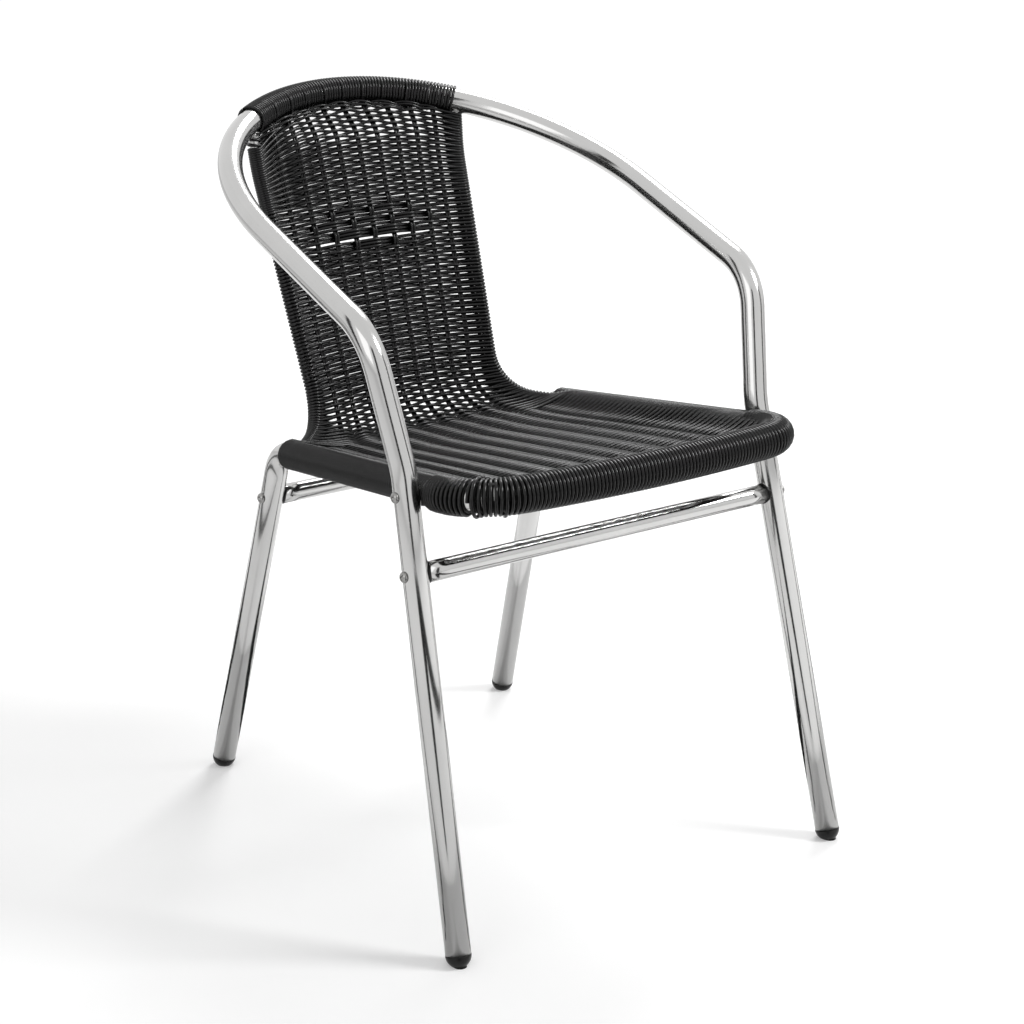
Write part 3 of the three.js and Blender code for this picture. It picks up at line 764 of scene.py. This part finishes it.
def sheetPoint(row, share):
    # x = share * edge x; y and z pass from the middle line to the edge line as share squared
    row, share = np.broadcast_arrays(np.asarray(row, float), np.asarray(share, float))
    edge = sheetEdge(row)
    bow = (1 - share * share)[..., None]
    place = lerp(edge, sheetMiddle(row), bow)
    dish = weave["dish"] * ramp(row, *weave["dishRows"]) * bow[..., 0]
    return np.stack([share * edge[..., 0], place[..., 1], place[..., 2] - dish], axis=-1)


def sheetDown(row, share):
    return unit(sheetPoint(row + rowStep, share) - sheetPoint(row - rowStep, share))


def sheetAside(row, share):
    return unit(sheetPoint(row, share + rowStep) - sheetPoint(row, share - rowStep))


def sheetNormal(row, share):
    # across the sheet, towards the sitter: down direction x side direction
    down = sheetPoint(row + rowSpan, share) - sheetPoint(row - rowSpan, share)
    return unit(np.cross(down, sheetAside(row, share)))


def sheetPlace(row, share, down, lift):
    moved = row + down / sheetLength
    return sheetPoint(moved, share) + sheetNormal(moved, share) * np.asarray(lift)[..., None]


def stakeShares(row, stakes):
    spread = ramp(row, *weave["spread"])
    size = np.abs(stakes)
    wide = np.take(weave["backShares"], size)
    narrow = np.take(weave["seatShares"], size)
    return np.sign(stakes) * lerp(wide, narrow, spread)


def bandReach(wefts):
    # how many stakes a strand's group takes in to each side of the middle, or -1 outside the band
    group = ((wefts - weave["bandStart"]) // weave["bandGroup"]).astype(int)
    last = len(weave["bandReaches"]) - 1
    reach = np.take(weave["bandReaches"], np.clip(group, 0, last))
    return np.where((group >= 0) & (group <= last), reach, -1)


def overOrUnder(wefts, stakes):
    # +1 where a strand passes in front of a stake, -1 behind: plain weave, with groups of three in the band
    reach = bandReach(wefts)[:, None]
    plain = np.where((wefts[:, None] + stakes) % 2 == 0, 1.0, -1.0)
    grouped = np.where((np.abs(stakes) + reach) % 2 == 0, -1.0, 1.0)
    return np.where(np.abs(stakes) <= reach, grouped, plain)


def barLift(row, stake):
    # sine bump of a stake over the three strands of a group that pass behind it
    weft = np.interp(row, weave["rowPlaces"], weave["rowKnots"])
    reach = bandReach(weft)
    bar = (abs(stake) <= reach) & ((abs(stake) + reach) % 2 == 0)
    part = ((weft - weave["bandStart"]) / weave["bandGroup"]) % 1
    return np.where(bar, weave["barLift"] * np.sin(np.pi * part), 0)


def slitShift(wefts, stakeAt):
    # strands below the fourth group of the band lie lower there, and close up again further down
    below = wefts[:, None] - (weave["bandStart"] + weave["slitGroup"] * weave["bandGroup"])
    fade = np.where(below < 0, 0, np.clip(1 - below / weave["slitFade"], 0, 1))
    opens, closes = weave["slitStakes"]
    window = ramp(stakeAt, *opens) * (1 - ramp(stakeAt, *closes))
    return weave["slit"] * fade * window


def hermite(start, end, endSlope, share):
    # a cubic that leaves level and arrives at endSlope
    cube = share ** 3
    square = share ** 2
    return (2 * cube - 3 * square + 1) * start + (3 * square - 2 * cube) * end + (cube - square) * endSlope


def railCentre(row, edge):
    # the rail's own line has the corner bend in it, which the edge line leaves out
    side = seatLine[seatLine[:, 0] > 0]
    rail = side[side[:, 1] < railRear[1]][::-1]
    order = np.argsort(rail[:, 1])
    x = np.interp(edge[:, 1], rail[order, 1], rail[order, 0])
    z = np.interp(edge[:, 1], rail[order, 1], rail[order, 2])
    onRail = (row > 1)[:, None]
    return np.where(onRail, np.stack([x, edge[:, 1], z], axis=-1), edge)


def edgeTurns(middleRow, fan, side, last, pitch, slip):
    # from the last stake over the edge's crest, round its outer side and back behind the sheet
    touch = np.radians(weave["touch"])
    row = middleRow + fan
    edge = sheetEdge(row)
    centre = railCentre(row, edge)
    rodRing = rods["radius"] + weave["strandRadius"]
    railRing = lines["tubeRadius"] + weave["strandRadius"]
    radius = lerp(rodRing, railRing, ramp(row, *weave["ringRows"]))
    normal = sheetNormal(row, np.ones_like(row))
    down = sheetDown(row, np.ones_like(row))
    outward = unit(np.cross(down, -normal))
    outward = outward * np.sign(outward[:, :1])
    lastShare = stakeShares(row[:, None], np.array([last]))[:, 0]
    touchShare = (centre[:, 0] - radius * np.sin(touch)) / edge[:, 0]
    width = (touchShare - lastShare) * edge[:, 0]
    crest = radius * np.cos(touch)
    slope = width * np.tan(touch)
    lead = np.linspace(0, 1, weave["leadSteps"] + 1)[None, 1:]
    stakeRow = middleRow + fan * lastShare ** weave["fanPower"]

    def onSheet(part, shift, lift):
        # part is 0 at the last stake and 1 at the edge
        share = lerp(lastShare[:, None], touchShare[:, None], part)
        return sheetPlace(lerp(stakeRow[:, None], row[:, None], part), share, shift, lift)

    depth = hermite(side[:, None] * weave["depth"], crest[:, None], slope[:, None], lead)
    leadPath = onSheet(lead, -(slip * side)[:, None] * (1 - lead), depth)
    aside = (centre - edge) * np.array((0, 1, 1))
    leadPath = leadPath + aside[:, None] * (lead ** 2)[..., None]
    nearLeg = np.abs(centre[:, 1] - crossing[1]) < weave["legReach"]
    underFront = centre[:, 1] < crossing[1] - weave["frontReach"]
    short = (row > 1) & (nearLeg | underFront)
    endTurn = np.where(short, np.radians(weave["shortTurn"]), np.pi + touch)
    arcShare = np.linspace(0, 1, weave["arcSteps"] + 1)[None, 1:]
    turn = lerp(-touch, endTurn[:, None], arcShare)
    further = endTurn[:, None] + np.radians(weave["tailTurn"]) * lead

    def onRing(angle):
        spoke = normal[:, None] * np.cos(angle)[..., None] + outward[:, None] * np.sin(angle)[..., None]
        return centre[:, None] + radius[:, None, None] * spoke

    back = 1 - weave["tailReach"] * lead
    backDepth = -hermite(weave["depth"], crest[:, None], slope[:, None], back)
    tail = onSheet(back, np.where(side < 0, slip, slip - pitch)[:, None] * (1 - back), backDepth)
    tail = np.where(short[:, None, None], onRing(further), tail)
    path = np.concatenate([leadPath, onRing(turn), tail], axis=1)
    return path, np.broadcast_to(down[:, None], path.shape)


def weftPaths(wefts, last):
    stakes = np.arange(-last, last + 1)
    side = overOrUnder(wefts, stakes)
    row = np.interp(wefts + 0.5, weave["rowKnots"], weave["rowPlaces"])
    # the strands above the band spread like a fan: their ends lie lower than their middles
    leftFan, rightFan = [fan * np.clip(1 - wefts / weave["bandStart"], 0, 1) for fan in weave["fans"]]
    slip = lerp(*weave["slips"], ramp(wefts, *weave["slipRows"]))
    shares = stakeShares(row[:, None], stakes)
    bays = 2 * last
    place = np.linspace(0, bays, bays * weave["bendsPerBay"] + 1)
    bay = np.minimum(place.astype(int), bays - 1)
    part = place - bay
    share = lerp(shares[:, bay], shares[:, bay + 1], part)
    wave = lerp(side[:, bay], side[:, bay + 1], (1 - np.cos(np.pi * part)) / 2)
    inside = np.abs(place - last) <= bandReach(wefts)[:, None]
    down = slitShift(wefts, (place - last)[None]) - np.where(inside, 0, slip[:, None] * wave)
    down = down + weave["unevenness"] * rng.standard_normal((len(row), 1))
    fan = np.where(share < 0, leftFan[:, None], rightFan[:, None])
    fanned = row[:, None] + fan * np.abs(share) ** weave["fanPower"]
    main = sheetPlace(fanned, share, down, weave["depth"] * wave)
    pitch = np.interp(wefts, weave["rowKnots"], weave["rowPitches"])
    right, rightGuide = edgeTurns(row, rightFan, side[:, -1], last, pitch, slip)
    left, leftGuide = edgeTurns(row, leftFan, side[:, 0], last, pitch, slip)
    paths = np.concatenate([left[:, ::-1] * mirrorX, main, right], axis=1)
    return paths, np.concatenate([leftGuide * mirrorX, sheetDown(fanned, share), rightGuide], axis=1)


def buildSheet(name, wefts, last, node):
    paths, guides = weftPaths(wefts, last)
    plain = np.interp(wefts, weave["rowKnots"], weave["rowRadii"])
    radius = np.where(bandReach(wefts) > 0, weave["bandRadius"], plain)
    piece = strandPiece(name, paths, radius[:, None], guides, weave["sides"])
    finish(piece, strand, "strand", node)


buildSheet("backStrands", np.arange(weave["backRows"]), weave["backStakes"], "woven_back")
buildSheet("seatStrands", weave["backRows"] + np.arange(weave["seatRows"]), weave["seatStakes"], "woven_seat")
print("stage: strands woven")


def buildStakes():
    half = weave["seatStakes"]
    first, last = weave["stakeRows"]
    for index in range(-half, half + 1):
        start = weave["outerStakeRow"] if abs(index) == half else first
        row = np.linspace(start, last, weave["stakeSteps"])
        share = stakeShares(row[:, None], np.array([index]))[:, 0]
        middle = sheetPlace(row, share, 0, barLift(row, index))
        aside = sheetAside(row, share) * weave["stakeOffset"]
        paths = np.stack([middle - aside, middle + aside])
        guide = sheetNormal(row, share)
        number = index + half + 1
        piece = strandPiece(f"stakeStrands_{number}", paths, weave["stakeRadius"], guide, weave["sides"])
        finish(piece, strand, "stake", f"stake_{number}")


buildStakes()


border = {
    "middleRows": (-0.034, -0.021),
    "leftRows": (0.052, 0.064),
    "rightRows": (0.024, 0.034),
    "depth": 0.0030,
    "swing": 0.0017,
    "reach": 0.985,
    "steps": 161,
    "tiePitch": 0.0058,
    "tieTop": 0.014,
}


def buildBorder():
    # two pairs of strands twined round the stakes under the hoop, half a turn from stake to stake:
    # lift = depth * cos(turn), shift down = swing * sin(turn)
    share = np.linspace(-border["reach"], border["reach"], border["steps"])
    turn = np.pi * share / weave["backShares"][1]
    phase = np.array((0, np.pi))[None, :, None] + turn
    kinds = ("middleRows", "leftRows", "rightRows")
    middleRow, leftRow, rightRow = [np.array(border[kind])[:, None, None] for kind in kinds]
    edgeRow = np.where(share < 0, leftRow, rightRow)
    row = np.broadcast_to(lerp(middleRow, edgeRow, share * share), (2, 2, len(share)))
    paths = sheetPlace(row, share, border["swing"] * np.sin(phase), border["depth"] * np.cos(phase))
    paths, guides = [points.reshape(-1, len(share), 3) for points in (paths, sheetDown(row, share))]
    piece = strandPiece("borderStrands", paths, weave["stakeRadius"], guides, weave["sides"])
    finish(piece, strand, "strand")


buildBorder()


# Wound strands on the tubes

winding = {
    "radius": 0.0016,
    "steps": 20,
    "sides": 8,
    "hoopHalf": 0.137,
    "hoopPitch": 0.0036,
    "notchLift": 0.0016,  # the hoop's turns ride up where they pass over a stake's end
    "notchReach": 0.009,
    "notchGap": 0.0013,  # and part there, so that the stake's end shows between them
    "notchFade": 0.0045,
    "hookRadius": 0.0008,
    "hookWidth": 0.0024,
    "railPitch": 0.0037,
    "frontPitch": 0.0041,
    "frontLayer": 0.0019,
    "frontRadius": 0.00182,
    "legGap": 0.004,
    "railRearY": 0.103,
    "bareRun": (1.1447, 1.1482),  # a place near the left corner where the front winding has opened
    "looseRuns": (1.1400, 1.1175),  # a turn that stands off there, and one that droops
    "looseReach": 0.0021,
    "looseLifts": (0.0022, 0.0018),
    "toothTop": -0.3,
    "sitterTilt": 0.6,
    "sitterFade": 0.8,
    "searchSteps": 4000,
    "landingGap": 0.002,
    "underReach": 0.002,
    "underSpacing": 1.03,
}
runStep = 0.001


def nearestRun(line, target):
    run = np.linspace(0, runOf(line)[-1], winding["searchSteps"])
    distance = np.linalg.norm(along(line, run) - target, axis=-1)
    return run[np.argmin(distance)]


def stakeRuns():
    # where the hoop's line passes over each stake of the back
    share = np.arange(-weave["backStakes"], weave["backStakes"] + 1) * weave["backShares"][1]
    tops = hoopArc(np.arccos(share * rods["topX"] / lines["armX"]))
    return np.array([nearestRun(hoopLine, top) for top in tops])


notchRuns = stakeRuns()


def noLift(run, spoke):
    return 0.0


def towardsSitter(spoke):
    return ramp(-spoke[:, 1] - winding["sitterTilt"] * spoke[:, 2], 0.0, winding["sitterFade"])


def notchLift(run, spoke):
    # a saw tooth on the front and lower side of the hoop, at each stake
    behind = (run[:, None] - notchRuns) / winding["notchReach"]
    near = (behind > -0.5) & (behind < 0.5)
    tooth = np.where(near, (0.5 - behind) * ramp(behind, -0.5, winding["toothTop"]), 0).max(axis=1)
    return winding["notchLift"] * tooth * towardsSitter(spoke)


def notchPush(run, spoke):
    # turns part to both sides of a stake, less with their distance from it
    behind = run[:, None] - notchRuns
    push = np.sign(behind) * np.exp(-np.abs(behind) / winding["notchFade"])
    return winding["notchGap"] / 2 * push.sum(axis=1) * towardsSitter(spoke)


def looseLift(run, spoke):
    # a bell-shaped rise at each loose turn, the second on its lower side only
    apart = (run[:, None] - winding["looseRuns"]) / winding["looseReach"]
    bells = np.exp(-apart ** 2) * winding["looseLifts"]
    return bells[:, 0] + bells[:, 1] * ramp(-spoke[:, 2], 0, 1)


def helixPath(line, guide, start, end, pitch, radius, lift=noLift, push=noLift):
    # a strand round a line: point + radius * spoke, one turn to a pitch
    count = int((end - start) / pitch * winding["steps"])
    run = np.linspace(start, end, count)
    ahead = unit(along(line, run + runStep) - along(line, run - runStep))
    spoke = spokes(ahead, guide, (2 * np.pi * (run - start) / pitch)[:, None])
    reach = radius + np.broadcast_to(lift(run, spoke), run.shape)
    return along(line, run + push(run, spoke)) + reach[:, None] * spoke, ahead


def woundPiece(name, line, guide, start, end, pitch, radius, strandRadius, *nodes, lift=noLift, push=noLift):
    path, ahead = helixPath(line, guide, start, end, pitch, radius, lift, push)
    piece = strandPiece(name, path[None], strandRadius, ahead[None], winding["sides"])
    finish(piece, strand, "strand", *nodes)


def buildHooks():
    # the stakes' ends, hooked round the hoop under its winding
    ring = lines["tubeRadius"] + winding["hookRadius"]
    half = winding["hookWidth"] / 2
    guide = tubes["hoopGuide"]
    hooks = [helixPath(hoopLine, guide, run - half, run + half, half, ring) for run in notchRuns]
    paths, guides = np.stack(hooks, axis=1)
    piece = strandPiece("stakeHooks", paths, winding["hookRadius"], guides, winding["sides"])
    finish(piece, strand, "strand")


def buildWindings():
    hoopMiddle = runOf(hoopLine)[-1] / 2
    hoopRing = lines["tubeRadius"] + winding["radius"]
    half = winding["hoopHalf"]
    woundPiece("hoopWinding", hoopLine, tubes["hoopGuide"], hoopMiddle - half, hoopMiddle + half,
               winding["hoopPitch"], hoopRing, winding["radius"], "hoop_wrap", lift=notchLift, push=notchPush)
    total = runOf(seatLine)[-1]
    legRun = nearestRun(seatLine, railPoint(lines["crossing"][1]))
    rearRun = nearestRun(seatLine, railPoint(winding["railRearY"]))
    landingRun = nearestRun(seatLine, rodLine[-1]) + winding["landingGap"]
    railRing = lines["tubeRadius"] + weave["strandRadius"]
    spans = (("right", rearRun, landingRun), ("left", total - landingRun, total - rearRun))
    for label, start, end in spans:
        woundPiece(f"sideWinding_{label}", seatLine, tubes["seatGuide"], start, end,
                   winding["railPitch"], railRing, weave["strandRadius"], f"side_wrap_{label}")
    rodRing = rods["radius"] + winding["radius"]
    for label, line, fan in zip(("left", "right"), (rodLine * mirrorX, rodLine), weave["fans"]):
        woundPiece(f"rodTie_{label}", line, acrossX, border["tieTop"], fan * rodLength,
                   border["tiePitch"], rodRing, winding["radius"])
    start = legRun + lines["tubeRadius"] + winding["legGap"]
    outerRing = lines["tubeRadius"] + winding["frontLayer"] + winding["frontRadius"]
    underRadius = winding["frontLayer"] / 2
    innerRing = lines["tubeRadius"] + underRadius
    opened, closed = winding["bareRun"]
    under = winding["underReach"]
    for label, first, last in (("", start, opened), ("End", closed, total - start)):
        woundPiece(f"frontWinding{label}", seatLine, tubes["seatGuide"], first, last,
                   winding["frontPitch"], outerRing, winding["frontRadius"], "front_wrap", lift=looseLift)
    for label, first, last in (("", start - under, opened), ("End", closed, total - start + under)):
        woundPiece(f"frontUnderWinding{label}", seatLine, tubes["seatGuide"], first, last,
                   winding["frontLayer"] * winding["underSpacing"], innerRing, underRadius)


buildHooks()
buildWindings()
print("stage: tubes wound")


# Camera, floor and light

view = {
    "place": (-1.3588, -1.94308, 1.11064),
    "yaw": 35.62,
    "pitch": -18.33,
    "roll": 0.15,
    "lens": 84.14,
    "sensor": 36,
}


def buildCamera():
    yaw, pitch, roll = np.radians([view["yaw"], view["pitch"], view["roll"]])
    forward = np.array((np.sin(yaw) * np.cos(pitch), np.cos(yaw) * np.cos(pitch), np.sin(pitch)))
    level = np.array((np.cos(yaw), -np.sin(yaw), 0))
    above = np.cross(level, forward)
    right = level * np.cos(roll) + above * np.sin(roll)
    top = np.cross(right, forward)
    camera = newObject("camera", bpy.data.cameras.new("camera"))
    camera.data.lens = view["lens"]
    camera.data.sensor_width = view["sensor"]
    turned = np.stack([right, top, -forward], axis=1)
    matrix = Matrix(turned.tolist()).to_4x4()
    matrix.translation = view["place"]
    camera.matrix_world = matrix
    bpy.context.scene.camera = camera


studio = {
    "floorHalf": 30.0,
    "floorColour": 0.80,
    "nearGlow": 0.26,
    "farGlow": 0.62,
    "metalGlow": 0.27,  # how bright the metal sees the floor
    "glowRange": (0.9, 4.0),
    "worldLight": 0.50,
    "lamps": (  # name, place, size, energy
        ("keyLamp", (2.2, -1.9, 2.9), 1.0, 78.0),
        ("fillLamp", (-3.0, -1.2, 2.0), 2.2, 12.0),
        ("rimLamp", (1.7, 1.2, 2.6), 1.1, 46.0),
    ),
    "lampTarget": (0, 0, 0.4),
    "cards": (  # name, middle, width, height
        ("cameraCard", (-1.9, -3.6, 1.9), 1.0, 3.8),
        ("leftCard", (-4.0, 1.6, 1.9), 0.9, 3.8),
        ("rightCard", (3.2, -2.6, 1.9), 0.8, 3.8),
    ),
    "wedges": (  # name, side, heading in degrees from -Y towards -X, half angle in degrees
        ("leftWedge", -1, 29.0, 12.0),
        ("rightWedge", 1, 38.0, 12.0),
        ("leftRearWedge", -1, 150.0, 4.0),
        ("leftSideWedge", -1, -106.0, 4.0),
        ("rightRearWedge", 1, 150.0, 4.0),
        ("rightSideWedge", 1, -78.0, 4.0),
    ),
    "wedgeStart": 0.03,
    "wedgeReach": 2.4,
    "wedgeHeight": 0.0005,
    "cardColour": 0.0,
}


def flatPiece(name, corners):
    mesh = bpy.data.meshes.new(name)
    mesh.from_pydata([tuple(corner) for corner in corners], [], [(0, 1, 2, 3)])
    piece = newObject(name, mesh)
    return piece


def raysOf(tree):
    # 1 for rays of each kind, and 0 for the rest: from the camera, by gloss, and through clear things
    path = addNode(tree, "ShaderNodeLightPath").socket.node
    return [Wire(tree, path.outputs[f"Is {kind} Ray"]) for kind in ("Camera", "Glossy", "Transmission")]


def buildFloor():
    half = studio["floorHalf"]
    floor = flatPiece("floor", [(-half, -half, 0), (half, -half, 0), (half, half, 0), (-half, half, 0)])
    constants = {"Base Color": grey(studio["floorColour"]), "Roughness": 0.9, "Specular IOR Level": 0.0}
    material, tree, shader = startMaterial("paleFloor", constants)
    camera, glossy, clear = raysOf(tree)
    place = objectPlace(tree)
    away = addNode(tree, "ShaderNodeVectorMath", {"operation": "LENGTH"}, {0: place}, output=1)
    near, far = studio["glowRange"]
    span = {"From Min": near, "From Max": far, "To Min": studio["nearGlow"], "To Max": studio["farGlow"]}
    smooth = {"interpolation_type": "SMOOTHSTEP"}
    level = addNode(tree, "ShaderNodeMapRange", smooth, {"Value": away, **span})
    seen = (camera + clear) * level + glossy * studio["metalGlow"]
    glow = addNode(tree, "ShaderNodeEmission", inputs={"Strength": seen})
    both = addNode(tree, "ShaderNodeAddShader")
    tree.links.new(shader.outputs[0], both.socket.node.inputs[0])
    tree.links.new(glow.socket, both.socket.node.inputs[1])
    tree.links.new(both.socket, tree.nodes["Material Output"].inputs["Surface"])
    floor.data.materials.append(material)


def buildWorld():
    world = bpy.data.worlds.new("studio")
    bpy.context.scene.world = world
    world.use_nodes = True
    tree = world.node_tree
    camera, glossy, clear = raysOf(tree)
    seen = camera + glossy + clear
    strength = seen * (1 - studio["worldLight"]) + studio["worldLight"]
    background = tree.nodes["Background"]
    background.inputs["Color"].default_value = (1, 1, 1, 1)
    tree.links.new(strength.socket, background.inputs["Strength"])


def aimed(place, target):
    backward = unit(np.array(place) - np.array(target))
    right = unit(np.cross(skyward, backward))
    above = np.cross(backward, right)
    matrix = Matrix(np.stack([right, above, backward], axis=1).tolist()).to_4x4()
    matrix.translation = place
    return matrix


def buildLamps():
    for name, place, size, energy in studio["lamps"]:
        lamp = bpy.data.lights.new(name, "AREA")
        lamp.size = size
        lamp.energy = energy
        newObject(name, lamp).matrix_world = aimed(place, studio["lampTarget"])


def buildCards():
    # dark cards that only gloss sees draw the thin dark lines on the tubes: some stand upright, and wedges
    # on the floor spread from a leg's foot
    constants = {"Base Color": grey(studio["cardColour"]), "Roughness": 1.0}
    material = startMaterial("darkCard", constants)[0]
    shapes = {}
    for name, middle, width, height in studio["cards"]:
        middle = np.array(middle)
        aside = unit(np.cross(skyward, middle * np.array((1, 1, 0)))) * width / 2
        rise = skyward * height / 2
        low, high = middle - rise, middle + rise
        shapes[name] = [low - aside, low + aside, high + aside, high - aside]
    for name, side, heading, half in studio["wedges"]:
        turns = np.radians([heading - half, heading + half])
        rays = np.stack([-np.sin(turns), -np.cos(turns), 0 * turns], axis=1)
        foot = frontFoot * np.array((side, 1, 0)) + skyward * studio["wedgeHeight"]
        near, far = studio["wedgeStart"], studio["wedgeReach"]
        rim = ((near, rays[0]), (near, rays[1]), (far, rays[1]), (far, rays[0]))
        shapes[name] = [foot + reach * ray for reach, ray in rim]
    for name, corners in shapes.items():
        card = flatPiece(name, corners)
        card.data.materials.append(material)
        card.visible_camera = False
        card.visible_diffuse = False
        card.visible_shadow = False


buildCamera()
buildFloor()
buildWorld()
buildLamps()
buildCards()
bpy.context.scene.view_settings.view_transform = "Standard"
print("stage: camera and light made")
